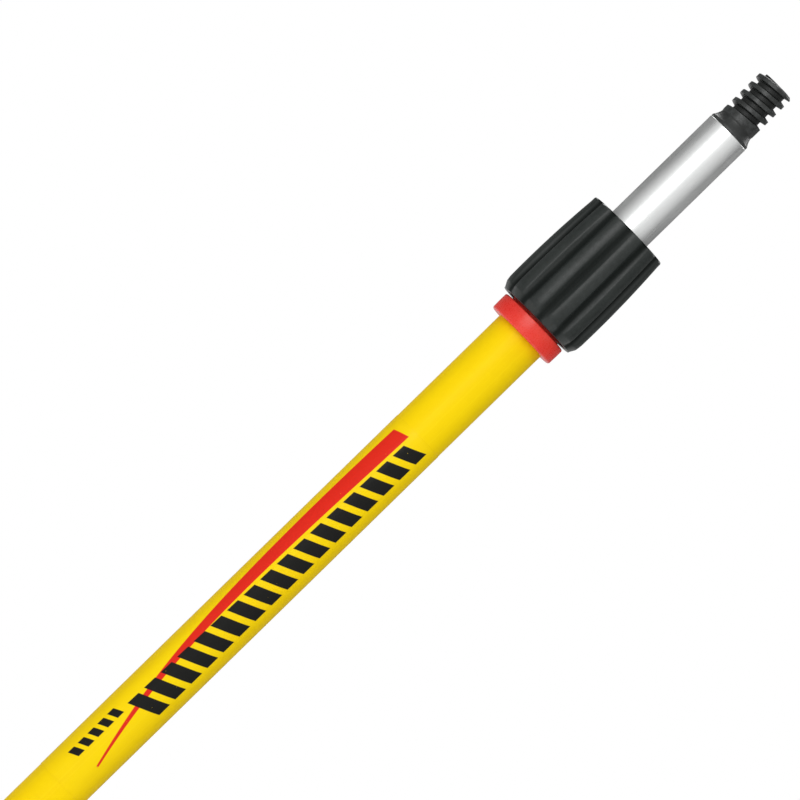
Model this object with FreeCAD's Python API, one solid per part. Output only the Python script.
import FreeCAD, Part
import math
import os

# Telescopic extension pole with a twist lock and a threaded tool tip.
# Millimetres, +Z from the butt to the tip, origin at the centre of the butt's lower face.
# The pole is modelled closed, with the lock tight.
# A suffix _r is a radius about Z (or about the feature's own axis), _z a height,
# and _z0 and _z1 are a feature's lower and upper ends. Angles are in degrees, from +X.

Vector = FreeCAD.Vector
os.makedirs("parts", exist_ok=True)

# ---------------------------------------------------------------- shared dimensions
tip_top = 700.0          # closed length, butt face to tip
fit = 0.05               # usual gap between assembled pieces

# tubes
outer_r = 13.15
outer_bore = 11.70
inner_r = 11.11          # 7/8 in outside diameter
inner_bore = 9.91
outer_z0, outer_z1 = 22.0, 560.0
inner_z0, inner_z1 = 44.0, 669.0

# pins, each lying along a radius
pin_r = 1.5
hole_r = pin_r + 0.04
outer_pin_angles = (0, 180)        # both ends of the outer tube
collar_pin_z, cap_pin_z = 551.0, 40.0
tip_pin_angles, guide_pin_angles = (90,), (90, 270)
tip_pin_z, guide_pin_z = 657.0, 54.0

# lock thread, right hand, shared by collar and nut
lock_lead = 4.0
lock_crest_w = 1.2
lock_clear = 0.20        # each flank
lock_tan = math.tan(math.radians(15.0))

# collar
collar_z0, collar_z1 = 537.0, 573.0
collar_thread_z0, collar_thread_z1 = 556.0, 571.0
collar_thread_r, collar_root_r = 15.90, 14.60
collar_neck_r = 14.50
collar_guide_bore = 11.20
collar_shoulder_z = 561.0          # step from the tube bore to the guide bore
seat_z0 = 566.0                    # lower end of the conical clamp seat
seat_r0, seat_r1 = 12.20, 13.60

# butt cap and the eyelet in its hang hole
cap_z0, cap_z1 = 3.0, 52.0
cap_r = 15.2
flat_y = 11.8                      # flats round the hang hole, at +Y and -Y
hang_r = 4.6
hang_z = 12.5
eyelet_r = hang_r + 0.6

# seats for the wiper and its retainer in the nut
wiper_pocket_r = 14.0
wiper_z0, wiper_z1 = 597.0, 602.0
snap_groove_r = 14.4
snap_z1 = 603.2


# ---------------------------------------------------------------- helpers
def turn(shape, angle):
    """Turns the shape itself about Z and returns it."""
    shape.rotate(Vector(0, 0, 0), Vector(0, 0, 1), angle)
    return shape


def cylinder(radius, z0, z1):
    return Part.makeCylinder(radius, z1 - z0, Vector(0, 0, z0), Vector(0, 0, 1))


def ring(bore_r, rim_r, z0, z1):
    return cylinder(rim_r, z0, z1).cut(cylinder(bore_r, z0 - 1, z1 + 1))


def revolve_wire(wire):
    return Part.Face(wire).revolve(Vector(0, 0, 0), Vector(0, 0, 1), 360)


def revolve(corners):
    """A solid of revolution about Z from straight-sided (r, z) corners."""
    points = [Vector(r, 0, z) for r, z in corners]
    return revolve_wire(Part.makePolygon(points + [points[0]]))


def revolve_curved(path):
    """A solid of revolution about Z from a closed path of lines and arcs.

    Each entry is (r, z), a line to that point, or (mid_r, mid_z, r, z), an arc through
    the middle point to the end point. The first entry is the start of the path.
    """
    here = Vector(path[0][0], 0, path[0][1])
    edges = []
    for step in path[1:] + path[:1]:
        end = Vector(step[-2], 0, step[-1])
        if len(step) == 4:
            middle = Vector(step[0], 0, step[1])
            edges.append(Part.Arc(here, middle, end).toShape())
        else:
            edges.append(Part.makeLine(here, end))
        here = end
    return revolve_wire(Part.Wire(edges))


def radial_cylinder(radius, from_r, to_r, z, angle):
    """A cylinder lying along a radius of the pole."""
    bar = Part.makeCylinder(radius, to_r - from_r, Vector(from_r, 0, z), Vector(1, 0, 0))
    return turn(bar, angle)


def drill_pin_holes(body, from_r, z, angles):
    for angle in angles:
        body = body.cut(radial_cylinder(hole_r, from_r, 16, z, angle))
    return body


def plain_pins(from_r, to_r, z, angles):
    return Part.makeCompound([radial_cylinder(pin_r, from_r, to_r, z, a) for a in angles])


def cut_slot(body, width, z0, z1, angle):
    """Cuts a radial slot through one side of a ring."""
    from_r, to_r = 5, 20
    box = Part.makeBox(to_r - from_r, width, z1 - z0, Vector(from_r, -width / 2, z0))
    return body.cut(turn(box, angle))


def helical_bar(root_r, root_w, open_r, open_w, pitch, turns, z, angle):
    """A right-hand helical bar, root_w wide at root_r and open_w wide at open_r."""
    points = [
        Vector(root_r, 0, -root_w / 2), Vector(open_r, 0, -open_w / 2),
        Vector(open_r, 0, open_w / 2), Vector(root_r, 0, root_w / 2),
    ]
    spine = Part.Wire(Part.makeHelix(pitch, pitch * turns, (root_r + open_r) / 2).Edges)
    sweep = Part.BRepOffsetAPI.MakePipeShell(spine)
    sweep.setBiNormalMode(Vector(0, 0, 1))
    sweep.add(Part.makePolygon(points + [points[0]]))
    sweep.build()
    sweep.makeSolid()
    bar = sweep.shape()
    if bar.Volume < 0:
        bar = bar.reversed()
    bar.translate(Vector(0, 0, z))
    return turn(bar, angle)


def cut_thread(body, bar):
    """A body of revolution less a helical bar.

    The cut can fail where the bar meets the body's seam, so the seam is turned until the
    result is one valid solid. If no angle works, the body is left plain.
    """
    for seam in (50, 77, 111, 10, 95, 125, 160, 200, 230, 260, 290, 320):
        cut = turn(body.copy(), seam).cut(bar)
        removed_enough = cut.Volume < body.Volume - 0.2 * bar.Volume
        if cut.isValid() and len(cut.Solids) == 1 and removed_enough:
            return cut
    return body


def save(name, shape):
    solids = shape.Solids
    shape = solids[0] if len(solids) == 1 else Part.makeCompound(solids)
    shape.exportStep("parts/%s.step" % name)


# ---------------------------------------------------------------- outer tube and label
outer_tube = ring(outer_bore, outer_r, outer_z0, outer_z1)
for pin_z in (collar_pin_z, cap_pin_z):
    outer_tube = drill_pin_holes(outer_tube, 10, pin_z, outer_pin_angles)
save("outer_tube", outer_tube)

label_z0, label_z1 = 246.0, 472.0
label_bore = outer_r + 0.02
label_thickness = 0.12
save("label_wrap", ring(label_bore, label_bore + label_thickness, label_z0, label_z1))

# ---------------------------------------------------------------- lock collar
# Flange, neck, male lock thread, bore for the tube, guide bore and clamp seat.
flange_r = 18.15
flange_z1 = 546.0
flange_chamfer = 0.8
collar_bore = outer_r + fit
collar = revolve([
    (collar_bore, collar_z0),
    (flange_r - flange_chamfer, collar_z0), (flange_r, collar_z0 + flange_chamfer),
    (flange_r, flange_z1 - flange_chamfer), (flange_r - flange_chamfer, flange_z1),
    (collar_neck_r, flange_z1), (collar_neck_r, collar_thread_z0),
    (collar_thread_r - 0.9, collar_thread_z0), (collar_thread_r, collar_thread_z0 + 0.9),
    (collar_thread_r, collar_thread_z1 - 1.0), (collar_neck_r, collar_thread_z1),
    (collar_neck_r, collar_z1), (seat_r1, collar_z1), (seat_r0, seat_z0),
    (collar_guide_bore, seat_z0 - 0.4), (collar_guide_bore, collar_shoulder_z),
    (collar_bore, collar_shoulder_z),
])
collar_depth = collar_thread_r - collar_root_r
collar_groove_w = lock_lead - lock_crest_w     # at the crest
overshoot = 1.2                                # the cutting bar stands out past the crest
male_bar = helical_bar(
    root_r=collar_root_r, root_w=collar_groove_w - 2 * collar_depth * lock_tan,
    open_r=collar_thread_r + overshoot, open_w=collar_groove_w + 2 * overshoot * lock_tan,
    pitch=lock_lead, turns=6.25, z=collar_thread_z0 - lock_lead + lock_lead / 2, angle=0,
)
collar = cut_thread(collar, male_bar)
save("lock_collar", drill_pin_holes(collar, 10, collar_pin_z, outer_pin_angles))

save("collar_pins", plain_pins(outer_bore + 0.06, collar_neck_r - 0.15,
                               collar_pin_z, outer_pin_angles))

# cushion between the outer tube's upper end and the collar's shoulder
save("stop_cushion", ring(collar_guide_bore + 0.15, outer_r - fit,
                          outer_z1, collar_shoulder_z - fit))

# ---------------------------------------------------------------- clamp ring
# Split, tapered outside to sit in the collar's cone, with three relief slots.
clamp_z0, clamp_z1 = 566.4, 577.0
clamp_gap = 0.04
clamp_bore = inner_r + fit
split_w, relief_w = 2.2, 1.4
relief_top_z = clamp_z1 - 3.0
seat_slope = (seat_r1 - seat_r0) / (collar_z1 - seat_z0)


def clamp_cone_r(z):
    return seat_r0 + seat_slope * (z - seat_z0) - clamp_gap


cone_top_z = collar_z1 + 0.4
cone_top_r = clamp_cone_r(cone_top_z)
clamp = revolve([
    (clamp_bore, clamp_z0), (clamp_cone_r(clamp_z0), clamp_z0), (cone_top_r, cone_top_z),
    (cone_top_r + 0.7, collar_z1 + 1.1), (cone_top_r + 0.7, clamp_z1 - 0.4),
    (cone_top_r + 0.3, clamp_z1), (inner_r + 0.35, clamp_z1), (clamp_bore, clamp_z1 - 0.3),
])
clamp = cut_slot(clamp, split_w, clamp_z0 - 1, clamp_z1 + 1, -90)
for angle in (0, 90, 180):
    clamp = cut_slot(clamp, relief_w, clamp_z0 - 1, relief_top_z, angle)
save("clamp_ring", clamp)

# ---------------------------------------------------------------- butt cap


def along_y(radius, y_start, length):
    """A cylinder along +Y on the axis of the hang hole."""
    return Part.makeCylinder(radius, length, Vector(0, y_start, hang_z), Vector(0, 1, 0))


cap_bore = outer_r + fit
butt_round, rim_round = 2.6, 1.2
cap = revolve_curved([
    (0, cap_z0),
    (cap_r - butt_round, cap_z0),
    (cap_r - 0.76, cap_z0 + 0.76, cap_r, cap_z0 + butt_round),
    (cap_r, cap_z1 - rim_round),
    (cap_r - 0.35, cap_z1 - 0.35, cap_r - rim_round, cap_z1),
    (cap_bore, cap_z1),
    (cap_bore, outer_z0),
    (0, outer_z0),
])

# grip rings near the open end
grip_count, grip_pitch, grip_half_w, grip_depth = 3, 2.6, 0.6, 0.5
for i in range(grip_count):
    z = cap_z1 - 4.5 - grip_pitch * i
    cap = cap.cut(ring(cap_r - grip_depth, cap_r + 2, z - grip_half_w, z + grip_half_w))

cap = cap.cut(along_y(eyelet_r + 0.03, -30, 60))
flat_cut = 10                      # thickness of the box that cuts each flat
for y in (-flat_y - flat_cut, flat_y):
    cap = cap.cut(Part.makeBox(40, flat_cut, 19.3, Vector(-20, y, 1.0)))
for angle in outer_pin_angles:     # pin holes, each with a recess for the head
    cap = cap.cut(radial_cylinder(hole_r, 10, 20, cap_pin_z, angle))
    cap = cap.cut(radial_cylinder(2.9, cap_r - 0.75, 20, cap_pin_z, angle))
stud_socket_r, stud_socket_depth = 5.0, 1.6    # for the foot pad's stud
cap = cap.cut(cylinder(stud_socket_r, cap_z0 - 1, cap_z0 + stud_socket_depth))
save("butt_cap", cap)

# eyelet: a tube through the cap with a flange on each flat
eyelet_flange_r = eyelet_r + 1.3
flange_thickness, flange_gap = 0.55, 0.02
eyelet_end = 0.5                   # how far the tube stands out past each flat
eyelet = along_y(eyelet_r, -flat_y, 2 * flat_y)
for y in (-flat_y - flange_gap - flange_thickness, flat_y + flange_gap):
    eyelet = eyelet.fuse(along_y(eyelet_flange_r, y, flange_thickness))
eyelet = eyelet.fuse(along_y(eyelet_r, -flat_y - eyelet_end, 2 * flat_y + 2 * eyelet_end))
save("hang_eyelet", eyelet.cut(along_y(hang_r, -30, 60)))

# cap pins, with tapered heads
cap_pins = []
for angle in outer_pin_angles:
    shank = radial_cylinder(pin_r, outer_bore + 0.06, cap_r - 0.7, cap_pin_z, angle)
    head = Part.makeCone(2.75, 2.0, 0.75, Vector(cap_r - 0.73, 0, cap_pin_z), Vector(1, 0, 0))
    cap_pins.append(shank.fuse(turn(head, angle)))
save("cap_pins", Part.makeCompound(cap_pins))

pad_r = 11.6
stud_r = stud_socket_r - fit
stud_top_z = cap_z0 + 1.5
save("foot_pad", revolve_curved([
    (0, 0),
    (pad_r - 1.0, 0),
    (pad_r - 0.3, 0.3, pad_r, 1.0),
    (pad_r, cap_z0),
    (stud_r, cap_z0),
    (stud_r, stud_top_z),
    (0, stud_top_z),
]))

# ring on the cap's floor, inside the outer tube
bumper_bore, bumper_z1 = 4.0, 27.6
save("bumper", ring(bumper_bore, outer_bore - 0.3, outer_z0, bumper_z1))

# ---------------------------------------------------------------- lock nut
nut_z0, nut_z1 = 547.1, 605.6
nut_top_r, nut_mid_r, nut_low_r = 21.70, 23.00, 23.15
nut_mid_z = 580.0
nut_bottom_r = 20.7
bottom_round, top_round = 0.8, 2.2
nut_counter_r = 16.25              # counterbore below the thread
nut_thread_z0, nut_thread_z1 = 557.0, 574.5
nut_crest_r, nut_root_r = 14.85, 16.15
nut_cavity_r = 15.05
nut_shoulder_z = 580.05
nut_bore = 11.60
nut_mouth_r = 13.0
nut_body = revolve_curved([
    # outside, from the lower face up
    (nut_counter_r + 0.6, nut_z0),
    (nut_bottom_r - bottom_round, nut_z0),
    (nut_bottom_r - 0.23, nut_z0 + 0.23, nut_bottom_r, nut_z0 + bottom_round),
    (nut_low_r - 0.35, nut_z0 + 3.5),
    (nut_low_r - 0.07, nut_z0 + 4.2, nut_low_r, nut_z0 + 5.0),
    (nut_mid_r, nut_mid_z, nut_top_r, nut_z1 - top_round),
    (nut_top_r - 0.64, nut_z1 - 0.64, nut_top_r - top_round, nut_z1),
    # inside, from the mouth down
    (nut_mouth_r + 0.7, nut_z1),
    (nut_mouth_r, nut_z1 - 0.7),
    (nut_mouth_r, snap_z1),
    (snap_groove_r, snap_z1),
    (snap_groove_r, wiper_z1),
    (wiper_pocket_r, wiper_z1),
    (wiper_pocket_r, wiper_z0),
    (nut_bore, wiper_z0),
    (nut_bore, nut_shoulder_z),
    (nut_cavity_r, nut_shoulder_z),
    (nut_cavity_r, nut_thread_z1),
    (nut_crest_r, nut_thread_z1),
    (nut_crest_r, nut_thread_z0 + 1.4),
    (nut_counter_r, nut_thread_z0),
    (nut_counter_r, nut_z0 + 0.6),
])
nut_groove_w = lock_crest_w + 2 * lock_clear   # at the male crest radius
undershoot = 1.0                               # the cutting bar stands in past the crest
female_bar = helical_bar(
    root_r=nut_crest_r - undershoot,
    root_w=nut_groove_w + 2 * (collar_thread_r - nut_crest_r + undershoot) * lock_tan,
    open_r=nut_root_r,
    open_w=nut_groove_w - 2 * (nut_root_r - collar_thread_r) * lock_tan,
    pitch=lock_lead, turns=5.3, z=collar_thread_z0 - lock_lead, angle=0,
)
nut = cut_thread(nut_body, female_bar)

# grip flutes, which lean inwards towards the tip with the nut's taper
flute_count = 12
flute_r = 2.75
flute_centre_r = 24.00                         # at the nut's lower face
flute_lean = 1.05 / (nut_z1 - nut_z0)
flute_lead_in = 10                             # each cutter starts this far below the nut
flute_start_r = flute_centre_r + flute_lead_in * flute_lean
flutes = []
for i in range(flute_count):
    angle = math.radians(-90 + 360.0 / flute_count * i)
    x, y = math.cos(angle), math.sin(angle)
    start = Vector(flute_start_r * x, flute_start_r * y, nut_z0 - flute_lead_in)
    direction = Vector(-flute_lean * x, -flute_lean * y, 1)
    flutes.append(Part.makeCylinder(flute_r, 80, start, direction))
save("lock_nut", nut.cut(flutes))

# ---------------------------------------------------------------- rings in the nut
thrust_bore, thrust_r, thrust_chamfer = inner_r + 0.35, 14.7, 0.4
thrust_z0, thrust_z1 = clamp_z1 + fit, nut_shoulder_z - fit
save("thrust_ring", revolve([
    (thrust_bore, thrust_z0), (thrust_r - thrust_chamfer, thrust_z0),
    (thrust_r, thrust_z0 + thrust_chamfer), (thrust_r, thrust_z1 - thrust_chamfer),
    (thrust_r - thrust_chamfer, thrust_z1), (thrust_bore, thrust_z1),
]))

# wiper: a foot in the nut's pocket and a lip that reaches in to the inner tube
save("wiper_ring", revolve([
    (13.0, wiper_z0 + fit), (wiper_pocket_r - fit, wiper_z0 + fit),
    (wiper_pocket_r - fit, wiper_z1 - 0.15), (12.3, wiper_z1 - 0.15),
    (11.55, wiper_z1 + 1.7), (inner_r + fit, wiper_z1 + 2.3), (inner_r + fit, wiper_z1 + 1.4),
    (11.7, wiper_z1 - 1.6), (11.9, wiper_z0 + 1.4),
]))

retainer = ring(12.6, snap_groove_r - 0.08, wiper_z1 + 0.1, snap_z1 - 0.1)
save("wiper_retainer", cut_slot(retainer, 3.0, wiper_z1 - 1, snap_z1 + 1, 90))

# ---------------------------------------------------------------- inner tube
inner_tube = ring(inner_bore, inner_r, inner_z0, inner_z1)
inner_tube = drill_pin_holes(inner_tube, 5, tip_pin_z, tip_pin_angles)
save("inner_tube", drill_pin_holes(inner_tube, 5, guide_pin_z, guide_pin_angles))

# ---------------------------------------------------------------- threaded tip
# Tool thread, 3/4 in - 5 trapezoidal, right hand, cut in a cylinder.
thread_r, thread_root_r = 9.45, 6.80
thread_pitch = 5.08
thread_z0 = 675.2
thread_chamfer = 1.0
thread_groove_w = 3.197            # at the crest
thread_tan = math.tan(math.radians(14.5))
groove_start_angle = 135.0
groove_start_z = 678.565           # centre of the groove at its lower end
neck_r = 9.15
neck_top_z = thread_z0 - 1.0
skirt_r = 11.00
thread = revolve([
    (0, neck_top_z), (neck_r, neck_top_z), (neck_r, thread_z0 - 0.75),
    (thread_r, thread_z0), (thread_r, tip_top - thread_chamfer),
    (thread_r - thread_chamfer, tip_top), (0, tip_top),
])
thread_depth = thread_r - thread_root_r
overshoot = 1.4
thread = cut_thread(thread, helical_bar(
    root_r=thread_root_r, root_w=thread_groove_w - 2 * thread_depth * thread_tan,
    open_r=thread_r + overshoot, open_w=thread_groove_w + 2 * overshoot * thread_tan,
    pitch=thread_pitch, turns=5.0, z=groove_start_z, angle=groove_start_angle,
))

# Eight wedges, so that every crest face is a short arc of the major cylinder. In some of
# them the feather end of the ridge is taken off, so that the thread starts blunt at the top.
wedge_angle = 45
blunt_above = {7: 697.0, 0: 697.0, 1: 698.3, 2: 698.3, 3: 699.4}    # wedge: height
wedges = []
for i in range(8):
    sector = Part.makeCylinder(20, 60, Vector(0, 0, thread_z0 - 20), Vector(0, 0, 1), wedge_angle)
    wedge = thread.common(turn(sector, wedge_angle * i))
    if i in blunt_above:
        feather = ring(thread_root_r + 0.03, 13, blunt_above[i], tip_top + 3)
        wedge = wedge.cut(turn(feather, wedge_angle * i + 200))
    wedges.append(wedge)

# spigot in the inner tube, skirt on the tube's end and a curved neck up to the thread
spigot_r = inner_bore - fit
spigot_z0 = 645.0
tip_base = revolve_curved([
    (0, spigot_z0),
    (inner_bore - 0.75, spigot_z0),
    (spigot_r, spigot_z0 + 1.5),
    (spigot_r, inner_z1),
    (skirt_r, inner_z1),
    (skirt_r, inner_z1 + 1.1),
    (9.88, 672.0, neck_r, neck_top_z),
    (0, neck_top_z),
])
tip_base = drill_pin_holes(tip_base, 4, tip_pin_z, tip_pin_angles)
save("threaded_tip", tip_base.fuse(wedges))

save("tip_pins", plain_pins(4.1, inner_r - 0.02, tip_pin_z, tip_pin_angles))

# ---------------------------------------------------------------- inner tube's lower end
# guide plug: a flange, a groove for the guide ring, a shoulder and a spigot in the tube
plug_bore = 5.0
plug_z0, plug_z1 = 28.0, 66.0
flange_top_z, shoulder_z = 31.5, 38.0          # ends of the guide ring's groove
plug = revolve([
    (plug_bore, plug_z0), (11.1, plug_z0), (11.5, plug_z0 + 0.4), (11.5, flange_top_z),
    (9.4, flange_top_z), (9.4, shoulder_z), (11.55, shoulder_z), (11.55, inner_z0),
    (spigot_r, inner_z0), (spigot_r, plug_z1 - 1.5), (inner_bore - 0.75, plug_z1),
    (plug_bore, plug_z1),
])
save("guide_plug", drill_pin_holes(plug, 6.8, guide_pin_z, guide_pin_angles))

save("guide_pins", plain_pins(6.9, inner_r - 0.02, guide_pin_z, guide_pin_angles))

guide_bore, guide_r, guide_chamfer = 9.45, 11.62, 0.3
guide_z0, guide_z1 = flange_top_z + 0.1, shoulder_z - 0.1
guide = revolve([
    (guide_bore, guide_z0), (guide_r - guide_chamfer, guide_z0),
    (guide_r, guide_z0 + guide_chamfer), (guide_r, guide_z1 - guide_chamfer),
    (guide_r - guide_chamfer, guide_z1), (guide_bore, guide_z1),
])
save("guide_ring", cut_slot(guide, 1.6, 25, 45, 0))

# ring round the inner tube's lower end
save("stop_ring", ring(inner_r + 0.04, 11.6, inner_z0 + 0.02, 48.0))
